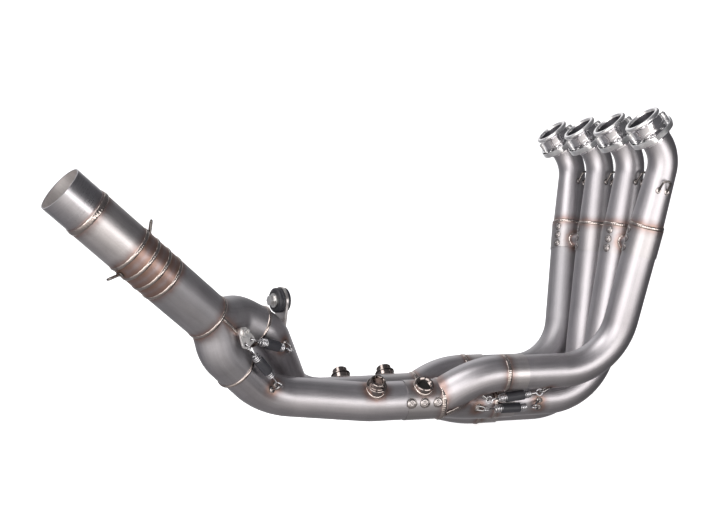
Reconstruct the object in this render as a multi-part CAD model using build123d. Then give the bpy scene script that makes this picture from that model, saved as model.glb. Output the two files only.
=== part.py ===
"""Motorcycle exhaust header, four into two into one, for an inline four.

Frame: +X is the front of the bike, +Y its left side, +Z up, millimetres.
The origin is the middle of the row of port faces. Cylinder 1 is on the left.
"""
import os
from math import cos, radians, sin, tan

from build123d import *

# Port row
port_pitch = 82.0
port_tilt = 51.0
spigot_length = 33.0
lip_radius = 23.7
lip_thickness = 4.5
neck_radius = 20.6
shoulder_radius = 21.3
shoulder_start = 15.5
port_bore_radius = 18.3
flange_start = 21.2
flange_thickness = 7.0
flange_bore_radius = 20.4
flange_seat_radius = 20.0
stud_radius = 3.3
stud_circle_radius = 26.0
lobe_turns = (90.0, 330.0, 210.0)
flange_body_radius = 25.0
flange_tip_radius = 7.0
post_radius = 4.5
post_height = 9.0
vent_circle_radius = 23.0
vent_radius = 1.5

# Primaries, one value for each cylinder from 1 to 4
wall = 1.2
upper_radius = 18.6
cone_radius = 20.9
lower_radius = 21.5
upper_lead = 24.0
upper_bend = 48.0
lower_bend = 78.0
ring_drop = 133.0
lower_apex_x = (-17.0, -8.0, -12.0, -10.0)
slip_y = (64.0, 25.0, -25.0, -64.0)
slip_z = (-331.0, -372.0, -357.0, -317.0)
collar_length = 38.0
collar_thickness = 0.9
balance_drop = 155.0
balance_radius = 9.6

# Front slip joints and the two 2-into-1 collectors
slip_gap = 0.2
socket_wall = 1.1
socket_start = -160.0
socket_end = -131.0
tube_end = -157.0
merge_x = -233.0
mid_y = 44.0
merge_z = (-352.0, -348.5)
merge_collar_length = 51.0

# Mid pipes
mid_radius = 24.0
right_kink_x = -328.0
right_bend_point = (-458.5, -44.0, -334.0)
right_slip = (-497.5, -66.0, -298.3)
right_bends = (150.0, 82.0)
left_bend_x = -400.0
left_rise_point = (-455.6, -46.0, -258.6)
left_slip = (-468.5, -50.0, -252.0)
left_bends = (60.0, 42.0)
rear_overlap = 20.0

# Rear collector, link pipe and outlet
rear_wall = 1.2
rear_gap = 0.25
rear_lead = 33.0
rear_tail = 13.0
rear_bends = (33.0, 42.0)
merge_point = (-537.0, -90.0, -234.4)
link_axis = (-0.708, -0.382, 0.595)
outlet_axis = (-0.742, -0.191, 0.643)
link_radius = 28.2
link_length = 79.0
lobster_length = 17.0
lobster_count = 3
upper_link_length = 59.5
stub_radius = 27.5
stub_wall = 1.5
stub_land = 5.0
stub_length = 40.0

# Small parts
bead_width = 4.0
bead_height = 0.9
nugget_radius = 5.0
nugget_height = 1.1
bead_gap = 0.12
wire_radius = 1.2
arch_half = 4.0
spring_radius = 5.2
spring_wire = 0.8
spring_reach = 30.5
sleeve_radius = 6.3
bung_radius = 12.0
bung_bore = 8.25
bung_height = 5.0
bung_lift = 50.0
collar_bung_x = (-270.0, -262.0)
pipe_bung_x = (-331.0, -324.0)
plug_flat = 18.0
plug_height = 7.5
plug_round = 3.2
plug_flange = 2.2
grommet_radius = 15.0
bracket_thickness = 3.0
hanger_point = (-436.4, -36.0, -221.6)
hanger_axis = (-0.96, -0.27, 0.0)
hanger_foot = (-432.5, -36.0, -254.0)
yoke_stud = (-499.3, -98.0, -252.5)
yoke_eye = (-491.2, -98.0, -264.2)
left_hook = (-432.1, -66.0, -278.7)
right_hook = (-449.2, -80.0, -318.9)
yoke_thickness = 2.5
boss_length = 26.0


def vec(p):
    return Vector(*p)


def frame(origin, axis, x_dir=None):
    """Plane at origin whose z runs along axis."""
    if x_dir is None:
        return Plane(origin=origin, z_dir=axis)
    return Plane(origin=origin, x_dir=x_dir, z_dir=axis)


def rod(p, q, radius, tip=None):
    """Solid cylinder or cone from p to q."""
    length = (q - p).length
    low = (Align.CENTER, Align.CENTER, Align.MIN)
    if tip is None:
        shape = Cylinder(radius, length, align=low)
    else:
        shape = Cone(radius, tip, length, align=low)
    return frame(p, q - p) * shape


def pipe(p, q, radius, thick):
    """Straight open tube from p to q."""
    ring = Circle(radius) - Circle(radius - thick)
    return extrude(frame(p, q - p) * ring, amount=(q - p).length)


def corner(a, b, c, bend):
    """Start, middle and end of the bend that rounds the corner b."""
    into = (b - a).normalized()
    away = (c - b).normalized()
    angle = radians(into.get_angle(away))
    reach = bend * tan(angle / 2)
    inward = (away - into).normalized()
    middle = b + inward * (bend / cos(angle / 2) - bend)
    return b - into * reach, middle, b + away * reach


def centre_line(points, bends):
    """Straight runs joined by round bends, one radius for each corner."""
    edges = []
    here = points[0]
    for k, bend in enumerate(bends):
        start, middle, end = corner(points[k], points[k + 1], points[k + 2], bend)
        if (start - here).length > 0.01:
            edges.append(Line(here, start))
        edges.append(ThreePointArc(start, middle, end))
        here = end
    if (points[-1] - here).length > 0.01:
        edges.append(Line(here, points[-1]))
    return Wire(edges)


def bar(points, bends, radius):
    """Round bar along straight runs joined by bends."""
    path = centre_line(points, bends)
    way = (points[1] - points[0]).normalized()
    return sweep(frame(points[0], way) * Circle(radius), path=path)


def bent_pipe(points, bends, radius, thick):
    return bar(points, bends, radius) - bar(points, bends, radius - thick)


def bead(centre, axis, radius, width=bead_width, height=bead_height):
    """Weld bead lying around a tube."""
    base = radius + bead_gap
    with BuildSketch(Plane.XZ) as profile:
        with BuildLine():
            ThreePointArc((base, -width / 2), (base + height, 0), (base, width / 2))
            Line((base, width / 2), (base, -width / 2))
        make_face()
    return frame(centre, axis) * revolve(profile.sketch, axis=Axis.Z)


def arch(foot, up, side, height, core, half=arch_half):
    """Wire arch standing on a tube; core is the solid that its feet stop at."""
    up = up.normalized()
    side = side.normalized() * half
    top = foot + up * (height - half)
    low = foot - up * 3.0
    legs = Line(low - side, top - side)
    bow = ThreePointArc(top - side, top + up * half, top + side)
    back = Line(top + side, low + side)
    path = Wire([legs, bow, back])
    wire = sweep(frame(low - side, up) * Circle(wire_radius), path=path)
    return wire - core


def nugget(point, out, core):
    """Flat round weld nugget on a tube."""
    low = point - out * 2 * nugget_height
    return rod(low, point + out * nugget_height, nugget_radius + 0.6, nugget_radius - 0.8) - core


def hook_ring(bar_point, inward, side):
    """Open eye of a spring around a hook bar."""
    centre = bar_point + inward * 1.9
    return frame(centre, side) * Torus(4.2, spring_wire)


def spring(p, q, side_p, side_q, coil_half=22.0):
    """Ribbed coil with an eye at each end; p and q are the two hook bars."""
    axis = (q - p).normalized()
    middle = (p + q) * 0.5
    ribs = 5
    pitch = 1.9
    points = [(0, -coil_half)]
    z = -coil_half
    for _ in range(ribs):
        points += [(spring_radius - 0.7, z), (spring_radius, z + pitch / 2)]
        z += pitch
    points += [(spring_radius - 0.7, z), (spring_radius - 0.2, z), (spring_radius - 0.2, -z)]
    z = -z
    points += [(spring_radius - 0.7, z)]
    for _ in range(ribs):
        points += [(spring_radius, z + pitch / 2), (spring_radius - 0.7, z + pitch)]
        z += pitch
    points += [(0, coil_half)]
    with BuildSketch(Plane.XZ) as profile:
        with BuildLine():
            Polyline(*points, close=True)
        make_face()
    coil = frame(middle, axis) * revolve(profile.sketch, axis=Axis.Z)
    low = rod(p + axis * 5.8, middle - axis * (coil_half - 0.5), spring_wire)
    high = rod(middle + axis * (coil_half - 0.5), q - axis * 5.8, spring_wire)
    return coil + low + high + hook_ring(p, axis, side_p) + hook_ring(q, -axis, side_q)


def spring_sleeve(p, q, half=12.5):
    axis = (q - p).normalized()
    middle = (p + q) * 0.5
    thick = sleeve_radius - spring_radius - 0.15
    return pipe(middle - axis * half, middle + axis * half, sleeve_radius, thick)


def compound(*solids):
    found = []
    for item in solids:
        found += item.solids()
    return Compound(found)


parts = {}
x_axis = Vector(1, 0, 0)
y_axis = Vector(0, 1, 0)
z_axis = Vector(0, 0, 1)

# Directions of the port row: down the port, and the fore-and-aft line across its face
port_down = Vector(cos(radians(port_tilt)), 0, -sin(radians(port_tilt)))
port_across = Vector(sin(radians(port_tilt)), 0, cos(radians(port_tilt)))
port_y = [port_pitch * (1.5 - i) for i in range(4)]

port = [Vector(0, y, 0) for y in port_y]
bend_top = [p + port_down * (spigot_length + upper_lead) for p in port]
bend_low = [Vector(lower_apex_x[i], slip_y[i], slip_z[i]) for i in range(4)]
leg = [(bend_low[i] - bend_top[i]).normalized() for i in range(4)]


def on_leg(i, drop):
    """Point of the straight leg of tube i at a given depth under the port face."""
    return bend_top[i] + leg[i] * ((-drop - bend_top[i].Z) / leg[i].Z)


# Port spigots and flanges
spigot_profile = [
    (port_bore_radius, 0),
    (lip_radius, 0),
    (lip_radius, lip_thickness),
    (neck_radius, lip_thickness + 2.5),
    (neck_radius, shoulder_start),
    (shoulder_radius, shoulder_start),
    (shoulder_radius, flange_start - 0.2),
    (flange_seat_radius, flange_start - 0.2),
    (flange_seat_radius, spigot_length),
    (upper_radius - wall, spigot_length),
    (port_bore_radius - 0.4, spigot_length - 12),
]
with BuildSketch(Plane.XZ) as spigot_sketch:
    with BuildLine():
        Polyline(*spigot_profile, close=True)
    make_face()
spigot = revolve(spigot_sketch.sketch, axis=Axis.Z)

lobes = [Rot(0, 0, turn) * Pos(stud_circle_radius, 0) for turn in lobe_turns]
rounds = [lobe * Circle(flange_tip_radius) for lobe in lobes]
plate = make_hull((Circle(flange_body_radius) + rounds).edges())
plate -= Circle(flange_bore_radius)
plate -= [lobe * Circle(stud_radius) for lobe in lobes]
for turn in lobe_turns:
    for step in (-40, 40):
        plate -= Rot(0, 0, turn + step) * (Pos(vent_circle_radius, 0) * Circle(vent_radius))
flange = extrude(plate, amount=flange_thickness)
for lobe in lobes[:2]:
    ring = lobe * (Circle(post_radius) - Circle(stud_radius))
    flange += Pos(0, 0, -post_height) * extrude(ring, post_height)

for i in range(4):
    number = i + 1
    place = frame(port[i], port_down, y_axis)
    parts[f"port_spigot_{number}"] = place * spigot
    seat = frame(port[i] + port_down * flange_start, port_down, y_axis)
    parts[f"port_flange_{number}"] = seat * flange

# Primaries
ring_point = []
cone_top = []
leg_bar = []
for i in range(4):
    number = i + 1
    ring = on_leg(i, ring_drop)
    ring_point.append(ring)
    start = port[i] + port_down * spigot_length
    turn_end = corner(start, bend_top[i], ring, upper_bend)[2]
    cone_top.append(turn_end)
    outer = bar([start, bend_top[i], turn_end], [upper_bend], upper_radius)
    inner = bar([start, bend_top[i], turn_end], [upper_bend], upper_radius - wall)
    outer = outer + rod(turn_end, ring, upper_radius, cone_radius)
    inner = inner + rod(turn_end, ring, upper_radius - wall, cone_radius - wall)
    parts[f"upper_primary_{number}"] = outer - inner
    end = Vector(tube_end, slip_y[i], slip_z[i])
    parts[f"lower_primary_{number}"] = bent_pipe([ring, bend_low[i], end], [lower_bend], lower_radius, wall)
    leg_bar.append(rod(ring - leg[i] * 10, ring + leg[i] * 60, lower_radius + collar_thickness + 0.02))

seam_out = (Vector(-0.90, -0.42, 0), Vector(-0.98, 0.15, 0), Vector(-0.90, -0.42, 0), Vector(-0.98, 0.15, 0))
sides = {"left": range(0, 2), "right": range(2, 4)}
hook_drop = (76.0, 76.0, 76.0, 87.0)
hook_out = [Vector(0.32, -0.95, 0)] * 3 + [Vector(-0.11, -0.99, 0)]
wire_hooks = {}
for side, pair in sides.items():
    collars = []
    welds = []
    hooks = []
    for i in pair:
        ring = ring_point[i]
        low = ring + leg[i] * collar_length
        top = ring + leg[i] * (bead_width / 2 + 0.1)
        collars.append(pipe(top, low, lower_radius + collar_thickness, collar_thickness - 0.02))
        welds.append(bead(ring, leg[i], lower_radius))
        out = (seam_out[i] - leg[i] * seam_out[i].dot(leg[i])).normalized()
        for along in (8.4, 20.4, 32.2):
            spot = ring + leg[i] * along + out * (lower_radius + collar_thickness)
            welds.append(nugget(spot, out, leg_bar[i]))
        up = (hook_out[i] - leg[i] * hook_out[i].dot(leg[i])).normalized()
        where = on_leg(i, hook_drop[i])
        rise = (up * 0.5 - leg[i] * 0.87).normalized()
        across = leg[i].cross(up)
        core = rod(cone_top[i], ring, upper_radius + 0.02, cone_radius + 0.02)
        hooks.append(arch(where + up * 19.2, rise, across, 16.0, core, 5.5))
    a = on_leg(pair[0], balance_drop)
    b = on_leg(pair[1], balance_drop)
    tube = rod(a, b, balance_radius) - rod(a, b, balance_radius - wall)
    parts[f"balance_tube_{side}"] = tube - leg_bar[pair[0]] - leg_bar[pair[1]]
    parts[f"primary_collars_{side}"] = compound(*collars)
    parts[f"header_welds_{side}"] = compound(*welds)
    wire_hooks[side] = hooks

# Collectors with their sockets
branch_radius = lower_radius + slip_gap + socket_wall
stations = (0.0, 0.2, 0.4, 0.6, 0.8, 1.0)


def branch(i, side, radius, end_radius):
    """One leg of a collector, through circles square to the front slip axis."""
    centre = Vector(merge_x, mid_y if side == "left" else -mid_y, merge_z[0 if side == "left" else 1])
    rings = []
    for t in stations:
        x = socket_start + (merge_x - socket_start) * t
        share = 1 - 0.96 * t * t
        y = centre.Y + (slip_y[i] - centre.Y) * share
        z = centre.Z + (slip_z[i] - centre.Z) * share
        size = radius + (end_radius - radius) * t
        rings.append(frame((x, y, z), (-1, 0, 0)) * Circle(size))
    return loft(rings)


for side, pair in sides.items():
    shell = None
    hollow = None
    for i in pair:
        out_leg = branch(i, side, branch_radius, mid_radius - 0.8)
        in_leg = branch(i, side, branch_radius - wall, mid_radius - 0.8 - wall)
        shell = out_leg if shell is None else shell + out_leg
        hollow = in_leg if hollow is None else hollow + in_leg
    body = shell - hollow
    for i in pair:
        low = Vector(socket_start, slip_y[i], slip_z[i])
        high = Vector(socket_end, slip_y[i], slip_z[i])
        body = body + pipe(low, high, branch_radius, socket_wall)
    parts[f"collector_{side}"] = body


# Mid pipes with their collars and sensor bungs
side_sign = {"left": 1, "right": -1}
merge_centre = {}
mid_points = {}
mid_bends = {"left": left_bends, "right": right_bends}
slip_point = {"left": vec(left_slip), "right": vec(right_slip)}
slip_axis = {
    "left": (vec(left_slip) - vec(left_rise_point)).normalized(),
    "right": (vec(right_slip) - vec(right_bend_point)).normalized(),
}
for side, sign in side_sign.items():
    centre = Vector(merge_x, sign * mid_y, merge_z[0 if side == "left" else 1])
    merge_centre[side] = centre
    end = slip_point[side] + slip_axis[side] * rear_overlap
    if side == "left":
        turn = Vector(left_bend_x, centre.Y, centre.Z)
        mid_points[side] = [centre, turn, vec(left_rise_point), end]
    else:
        kink = Vector(right_kink_x, centre.Y, centre.Z)
        mid_points[side] = [centre, kink, vec(right_bend_point), end]

# Sensor plug: hexagon with a rounded crown, a flange and a short shank
crown = extrude(Plane.XY.offset(plug_flange) * RegularPolygon(plug_flat / 2, 6, False), plug_height)
crown = fillet(crown.faces().sort_by(Axis.Z)[-1].edges(), plug_round)
plug = crown + rod(z_axis * 0.02, z_axis * plug_flange, bung_radius + 0.8)
plug = plug + rod(z_axis * (-bung_height - 1.0), z_axis * plug_flange, bung_bore - 0.05)

for side, sign in side_sign.items():
    centre = merge_centre[side]
    outer = bar(mid_points[side], mid_bends[side], mid_radius)
    hollow = bar(mid_points[side], mid_bends[side], mid_radius - wall)
    collar_radius = mid_radius + collar_thickness
    tail = centre - x_axis * merge_collar_length
    collar = pipe(centre, tail, collar_radius, collar_thickness - 0.02)
    core = extrude(frame(centre, tail - centre, z_axis) * Circle(collar_radius + 0.02), merge_collar_length)
    lift = Vector(0, sign * cos(radians(bung_lift)), sin(radians(bung_lift)))
    tube = outer - hollow
    bungs = []
    plugs = []
    turn = 0 if side == "left" else 1
    for x, base in ((collar_bung_x[turn], collar_radius), (pipe_bung_x[turn], mid_radius)):
        foot = Vector(x, centre.Y, centre.Z)
        face = foot + lift * (base + bung_height)
        bore = rod(foot, face + lift, bung_bore)
        tube = tube - bore
        if base == collar_radius:
            collar = collar - bore
            seat = core
        else:
            seat = bar(mid_points[side], mid_bends[side], mid_radius + 0.02)
        bungs.append(rod(foot, face, bung_radius) - bore - seat)
        if side == "right" and base == collar_radius:
            continue
        plugs.append(frame(face, lift, x_axis) * plug)
    welds = [bead(centre - x_axis * (bead_width / 2 + 0.2), x_axis, collar_radius)]
    for along in (8.5, 26.0, 44.0):
        out = Vector(0, sign * 0.995, -0.1)
        spot = centre - x_axis * along + out * collar_radius
        welds.append(nugget(spot, out, core))
    for i in sides[side]:
        seam_x = socket_start + bead_width / 2 + 0.2
        welds.append(bead(Vector(seam_x, slip_y[i], slip_z[i]), x_axis, branch_radius))
    parts[f"mid_pipe_{side}"] = tube
    parts[f"collector_collar_{side}"] = collar
    parts[f"sensor_bungs_{side}"] = compound(*bungs)
    parts[f"sensor_plugs_{side}"] = compound(*plugs)
    parts[f"collector_welds_{side}"] = compound(*welds)

# Front springs, two on each side, and the wire arches that they hang in
mid_hooks = {}
front_hook_x = {"upper": (-178.0, -105.0), "lower": (-178.0, -108.0)}
for side, pair in sides.items():
    sign = side_sign[side]
    springs = []
    sleeves = []
    collector_hooks = []
    header_hooks = wire_hooks[side]
    for i in pair:
        place = "upper" if abs(slip_y[i]) > mid_y else "lower"
        if place == "upper":
            away = Vector(0, 0, -1)
        else:
            away = Vector(0, sign * 0.98, -0.2).normalized()
        across = away.cross(x_axis)
        line = Vector(0, slip_y[i], slip_z[i]) + away * spring_reach
        back = Vector(front_hook_x[place][0], line.Y, line.Z)
        front = Vector(front_hook_x[place][1], line.Y, line.Z)
        tube = Vector(front.X, slip_y[i], slip_z[i])
        core = rod(tube - x_axis * 9, tube + x_axis * 9, lower_radius + 0.02)
        reach = spring_reach - lower_radius
        header_hooks.append(arch(tube + away * lower_radius, away, across, reach, core))
        t = (back.X - socket_start) / (merge_x - socket_start)
        share = 1 - 0.96 * t * t
        middle = merge_centre[side]
        y = middle.Y + (slip_y[i] - middle.Y) * share
        z = middle.Z + (slip_z[i] - middle.Z) * share
        root = Vector(back.X, y, z)
        up = (back - root).normalized()
        foot = root + up * (branch_radius - 0.5)
        leg_out = branch(i, side, branch_radius + 0.02, mid_radius - 0.78)
        collector_hooks.append(arch(foot, up, up.cross(x_axis), (back - foot).length, leg_out))
        springs.append(spring(back, front, across, across))
        sleeves.append(spring_sleeve(back, front))
    parts[f"front_springs_{side}"] = compound(*springs)
    parts[f"front_spring_sleeves_{side}"] = compound(*sleeves)
    mid_hooks[side] = collector_hooks
    parts[f"header_hooks_{side}"] = compound(*header_hooks)

# Rear collector: two bent sleeves, mitred on the plane between them and led into the link pipe
meet = vec(merge_point)
link_way = vec(link_axis).normalized()
out_way = vec(outlet_axis).normalized()
rear_radius = mid_radius + rear_gap + rear_wall
rear_paths = {}
for side in sides:
    start = slip_point[side]
    knee = start + slip_axis[side] * rear_lead
    apart = (knee - meet) - link_way * (knee - meet).dot(link_way)
    goal = meet + apart.normalized() * (link_radius - rear_radius)
    rear_paths[side] = [start, knee, goal - link_way * rear_tail, goal]
apart = rear_paths["left"][1] - rear_paths["right"][1]
apart = (apart - link_way * apart.dot(link_way)).normalized()
legs = {}
for side in sides:
    bend = rear_bends[0 if side == "left" else 1]
    legs[side] = bar(rear_paths[side], (bend, bend), rear_radius)
    hole = bar(rear_paths[side], (bend, bend), rear_radius - rear_wall)
    keep = Keep.TOP if side == "left" else Keep.BOTTOM
    mitre = Plane(origin=meet + apart * (0.01 if side == "left" else -0.01), z_dir=apart)
    parts[f"rear_collector_{side}"] = split(legs[side] - hole, bisect_by=mitre, keep=keep)

# Link pipe, lobster-back bend and outlet stub
turn_axis = link_way.cross(out_way).normalized()
turn_step = link_way.get_angle(out_way) / (lobster_count + 1)
ways = [link_way.rotate(Axis((0, 0, 0), turn_axis), turn_step * k) for k in range(lobster_count + 2)]
lengths = [link_length] + [lobster_length] * lobster_count + [upper_link_length]
nodes = [meet]
for way, length in zip(ways, lengths):
    nodes.append(nodes[-1] + way * length)


def mitred(k):
    """Straight tube k of the link, cut on the half-angle at both ends."""
    low = nodes[k]
    high = nodes[k + 1]
    tube = pipe(low - ways[k] * 10, high + ways[k] * 10, link_radius, wall)
    first = ways[k] if k == 0 else (ways[k - 1] + ways[k]).normalized()
    last = ways[k] if k == len(ways) - 1 else (ways[k] + ways[k + 1]).normalized()
    tube = split(tube, bisect_by=Plane(origin=low, z_dir=first), keep=Keep.TOP)
    return split(tube, bisect_by=Plane(origin=high, z_dir=last), keep=Keep.BOTTOM)


parts["link_pipe"] = mitred(0)
parts["lobster_back"] = compound(*[mitred(k) for k in range(1, lobster_count + 1)])
parts["upper_link"] = mitred(lobster_count + 1)
stub_base = nodes[-1]
stub_end = stub_base + out_way * stub_length
stub_step = stub_base + out_way * stub_land
stub_bore = stub_radius - stub_wall
stub = pipe(stub_base, stub_step, link_radius, link_radius - stub_bore)
parts["outlet_stub"] = stub + pipe(stub_step, stub_end, stub_radius, stub_wall)
rear_welds = [bead(meet, link_way, link_radius)]
for k in range(1, lobster_count + 2):
    rear_welds.append(bead(nodes[k], (ways[k - 1] + ways[k]).normalized(), link_radius, 3.4))
rear_welds.append(bead(stub_base, out_way, link_radius))
for side in sides:
    rim = slip_point[side] + slip_axis[side] * 1.2
    rear_welds.append(bead(rim, slip_axis[side], rear_radius, 2.4, 1.1))
parts["rear_welds"] = compound(*rear_welds)

hook_way = ways[lobster_count]
hook_spot = (nodes[lobster_count] + nodes[lobster_count + 1]) * 0.5
upward = (z_axis - hook_way * z_axis.dot(hook_way)).normalized()
core = rod(hook_spot - hook_way * 12, hook_spot + hook_way * 12, link_radius + 0.02)
outlet_hooks = []
for out in (upward, upward * -1):
    lean = (out * 0.85 + hook_way * 0.5).normalized()
    outlet_hooks.append(arch(hook_spot + out * (link_radius - 0.6), lean, out.cross(hook_way), 15.0, core))
parts["outlet_hooks"] = compound(*outlet_hooks)


# Yoke on the crotch of the rear collector, with a spring to each mid pipe
eye = vec(yoke_eye)
rear_bar = {"left": vec(left_hook), "right": vec(right_hook)}
pull_left = (rear_bar["left"] - eye).normalized()
pull_right = (rear_bar["right"] - eye).normalized()
face_out = pull_left.cross(pull_right).normalized()
if face_out.Y > 0:
    face_out = face_out * -1
stud = vec(yoke_stud)
along = eye - stud
along = (along - face_out * along.dot(face_out)).normalized()
sideways = face_out.cross(along).normalized()
stud = eye - along * 13.0
yoke_plane = frame(eye - face_out * (yoke_thickness / 2), face_out, along)
eye_at = {"left": Vector(0, -5.2), "right": Vector(0, 5.2)}
if (pull_left - pull_right).dot(sideways) > 0:
    eye_at = {"left": Vector(0, 5.2), "right": Vector(0, -5.2)}
outline = [Pos(p.X, p.Y) * Circle(5.0) for p in eye_at.values()] + [Pos(-13.0, 0) * Circle(6.2)]
yoke = make_hull((outline[0] + outline[1:]).edges())
yoke -= Pos(-13.0, 0) * Circle(3.1)
for p in eye_at.values():
    yoke -= Pos(p.X, p.Y) * Circle(2.5)
parts["spring_yoke"] = yoke_plane * extrude(yoke, yoke_thickness)
boss_top = stud - face_out * (yoke_thickness / 2 + 0.02)
boss = rod(boss_top - face_out * boss_length, boss_top, 5.4) - rod(boss_top - face_out * 6, boss_top, 3.0)
parts["yoke_boss"] = boss - legs["right"] - legs["left"]
cap_base = stud + face_out * (yoke_thickness / 2 + 0.02)
cap = rod(cap_base, cap_base + face_out * 1.2, 6.4) + rod(cap_base, cap_base + face_out * 5.5, 4.6)
cap = cap - extrude(frame(cap_base + face_out * 2.5, face_out) * RegularPolygon(2.5, 6), 4.0)
parts["yoke_bolt"] = cap + rod(cap_base - face_out * 6.5, cap_base, 2.95)

mid_core = {
    "left": (mid_points["left"][1], mid_points["left"][2]),
    "right": (mid_points["right"][1], mid_points["right"][2]),
}
rear_sleeves = []
for side, sign in side_sign.items():
    low, high = mid_core[side]
    way = (high - low).normalized()
    bar_point = rear_bar[side]
    root = low + way * (bar_point - low).dot(way)
    up = (bar_point - root).normalized()
    core = bar(mid_points[side], mid_bends[side], mid_radius + 0.02)
    pull = pull_left if side == "left" else pull_right
    across = up.cross(pull).normalized()
    foot = root + up * mid_radius
    mid_hooks[side].append(arch(foot, up, across, (bar_point - foot).length, core))
    parts[f"collector_hooks_{side}"] = compound(*mid_hooks[side])
    hole = yoke_plane.from_local_coords(eye_at[side] + Vector(0, 0, yoke_thickness / 2))
    pull = (bar_point - hole).normalized()
    near_end = hole + pull * 1.85
    parts[f"rear_spring_{side}"] = spring(near_end, bar_point, pull.cross(face_out), across, 19.0)
    rear_sleeves.append(spring_sleeve(near_end, bar_point, 10.5))
parts["rear_spring_sleeves"] = compound(*rear_sleeves)

# Hanger on the left mid pipe
pin = vec(hanger_axis).normalized()
hang = vec(hanger_point)
level = pin.cross(z_axis).normalized()
hang_plane = frame(hang - pin * (bracket_thickness / 2), pin, level)
foot = hang_plane.to_local_coords(vec(hanger_foot))
tab = make_hull((Circle(grommet_radius + 1.0) + Pos(foot.X, foot.Y + 10) * Circle(6.0)).edges())
tab -= Circle(grommet_radius - 4.0)
bracket = hang_plane * extrude(tab, bracket_thickness)
parts["hanger_bracket"] = bracket - bar(mid_points["left"], mid_bends["left"], mid_radius + 0.02)
rubber = [
    (6.1, -6.0),
    (grommet_radius - 1.0, -6.0),
    (grommet_radius, -5.0),
    (grommet_radius, -bracket_thickness / 2 - 0.02),
    (grommet_radius - 4.05, -bracket_thickness / 2 - 0.02),
    (grommet_radius - 4.05, bracket_thickness / 2 + 0.02),
    (grommet_radius, bracket_thickness / 2 + 0.02),
    (grommet_radius, 8.0),
    (grommet_radius - 1.5, 9.5),
    (6.1, 9.5),
]
with BuildSketch(Plane.XZ) as rubber_sketch:
    with BuildLine():
        Polyline(*rubber, close=True)
    make_face()
parts["hanger_grommet"] = frame(hang, pin) * revolve(rubber_sketch.sketch, axis=Axis.Z)
bush = pipe(hang - pin * 6.4, hang + pin * 9.52, 6.0, 1.8)
washer_base = hang + pin * 9.54
washer = pipe(washer_base, washer_base + pin * 1.6, 8.6, 4.5)
head_base = washer_base + pin * 1.62
head = extrude(frame(head_base, pin) * RegularPolygon(5.5, 6, False), 5.5)
bolt = head + rod(head_base - pin * 17.0, head_base, 4.0)
parts["hanger_fasteners"] = compound(bush, washer, bolt)


def export_all():
    os.makedirs("parts", exist_ok=True)
    for name, shape in parts.items():
        export_step(shape, f"parts/{name}.step")


export_all()
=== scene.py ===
"""Titanium motorcycle exhaust header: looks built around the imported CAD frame. Sizes are in mm."""

import math

import bpy
import numpy as np
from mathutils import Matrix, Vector
from mathutils.geometry import tessellate_polygon
from mathutils.kdtree import KDTree


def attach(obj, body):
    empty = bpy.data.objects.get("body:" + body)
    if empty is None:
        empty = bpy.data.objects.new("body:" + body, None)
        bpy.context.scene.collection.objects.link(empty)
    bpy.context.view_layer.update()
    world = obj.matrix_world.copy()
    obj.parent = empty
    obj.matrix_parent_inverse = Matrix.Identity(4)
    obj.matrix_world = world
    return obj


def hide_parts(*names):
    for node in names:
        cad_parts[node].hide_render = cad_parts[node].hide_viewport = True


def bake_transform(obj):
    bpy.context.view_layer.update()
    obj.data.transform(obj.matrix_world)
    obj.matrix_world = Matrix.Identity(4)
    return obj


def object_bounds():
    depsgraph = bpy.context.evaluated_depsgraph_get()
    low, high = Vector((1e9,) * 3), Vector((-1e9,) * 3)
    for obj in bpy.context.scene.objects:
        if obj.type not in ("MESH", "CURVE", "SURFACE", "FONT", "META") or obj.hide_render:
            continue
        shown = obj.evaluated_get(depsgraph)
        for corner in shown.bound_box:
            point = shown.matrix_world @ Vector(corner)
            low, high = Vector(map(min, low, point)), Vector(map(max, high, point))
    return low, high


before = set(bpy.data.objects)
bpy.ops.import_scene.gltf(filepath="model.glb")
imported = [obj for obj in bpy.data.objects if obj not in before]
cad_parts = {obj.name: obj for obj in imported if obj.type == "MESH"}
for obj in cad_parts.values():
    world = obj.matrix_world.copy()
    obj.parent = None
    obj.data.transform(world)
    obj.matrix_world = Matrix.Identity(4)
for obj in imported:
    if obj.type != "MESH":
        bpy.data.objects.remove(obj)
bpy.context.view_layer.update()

MM = 0.001
X = np.array((1.0, 0.0, 0.0))
Y = np.array((0.0, 1.0, 0.0))
Z = np.array((0.0, 0.0, 1.0))

# Port row
port_y = (123.0, 41.0, -41.0, -123.0)
port_tilt = math.radians(51.0)
spigot_length = 33.0
flange_start, flange_thickness, flange_ease = 21.2, 7.0, 0.9
flange_bore, flange_body, flange_tip = 20.4, 28.5, 7.0
stud_radius, stud_circle, post_radius, post_height = 3.3, 26.0, 4.5, 9.0
vent_radius, vent_circle, vent_step = 1.5, 23.0, 40.0
lobe_turns = (90.0, 330.0, 210.0)

# Primaries
upper_radius, cone_radius, lower_radius = 18.6, 20.9, 21.5
upper_apex, upper_bend, lower_bend = 57.0, 48.0, 78.0
ring_drop = 133.0
lower_apex_x = (-17.0, -8.0, -12.0, -10.0)
slip_y = (64.0, 25.0, -25.0, -64.0)
slip_z = (-331.0, -372.0, -357.0, -317.0)
collar_length, collar_thickness, collar_start = 38.0, 0.9, 2.1
tube_collar_radius = lower_radius + collar_thickness
balance_drop, balance_radius = 155.0, 9.6
tube_end, tube_sunk = -157.0, 1.0

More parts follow.
